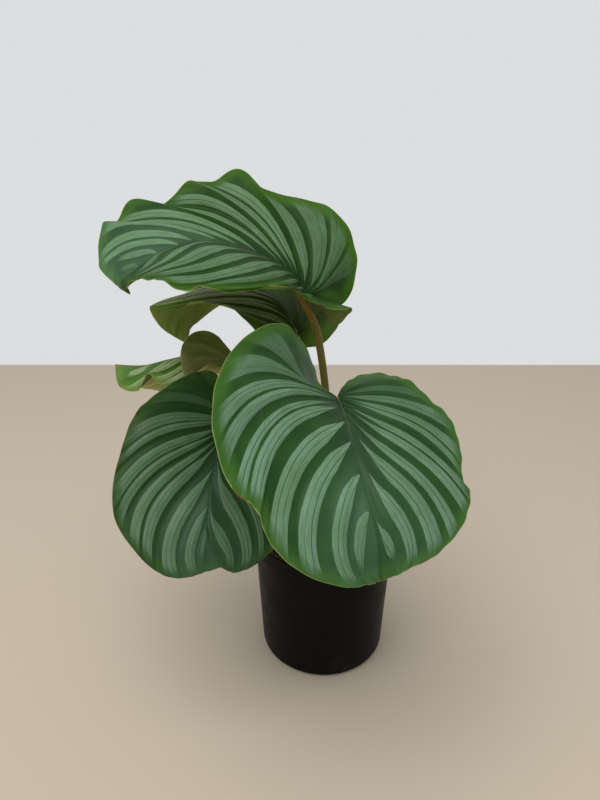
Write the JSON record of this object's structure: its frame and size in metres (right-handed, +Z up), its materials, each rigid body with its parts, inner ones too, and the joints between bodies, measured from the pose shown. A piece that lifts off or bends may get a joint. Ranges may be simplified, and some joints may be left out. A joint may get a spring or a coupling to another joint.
{
  "type": "potted calathea orbifolia",
  "caption": "Round nursery pot filled with potting mix, with round, silver-striped leaves on upright stalks that rise from its middle.",
  "frame": {"origin": "middle of the pot's flat underside, on the surface the pot stands on", "axes": "+Z up along the pot's axis, +X to the right and -Y towards the viewer of the picture"},
  "size_m": [0.3296, 0.3812, 0.5119],
  "materials": {
    "pot_plastic": "black moulded plastic with a soft sheen",
    "potting_mix": "dark crumbly peat and bark",
    "leaf_blade": "soft satin leaf, silver green bands on dark green",
    "young_leaf_blade": "soft satin leaf, yellow green bands",
    "leaf_stalk": "smooth olive stalk, orange brown near the blade"
  },
  "bodies": {
    "root": {"pot": "pot_plastic", "potting_mix": "potting_mix", "front_leaf_blade": "leaf_blade", "front_leaf_stalk": "leaf_stalk", "top_leaf_blade": "leaf_blade", "top_leaf_stalk": "leaf_stalk", "side_leaf_blade": "leaf_blade", "side_leaf_stalk": "leaf_stalk", "rear_leaf_blade": "leaf_blade", "rear_leaf_stalk": "leaf_stalk", "young_leaf_blade": "young_leaf_blade", "young_leaf_stalk": "leaf_stalk"}
  },
  "joints": []
}
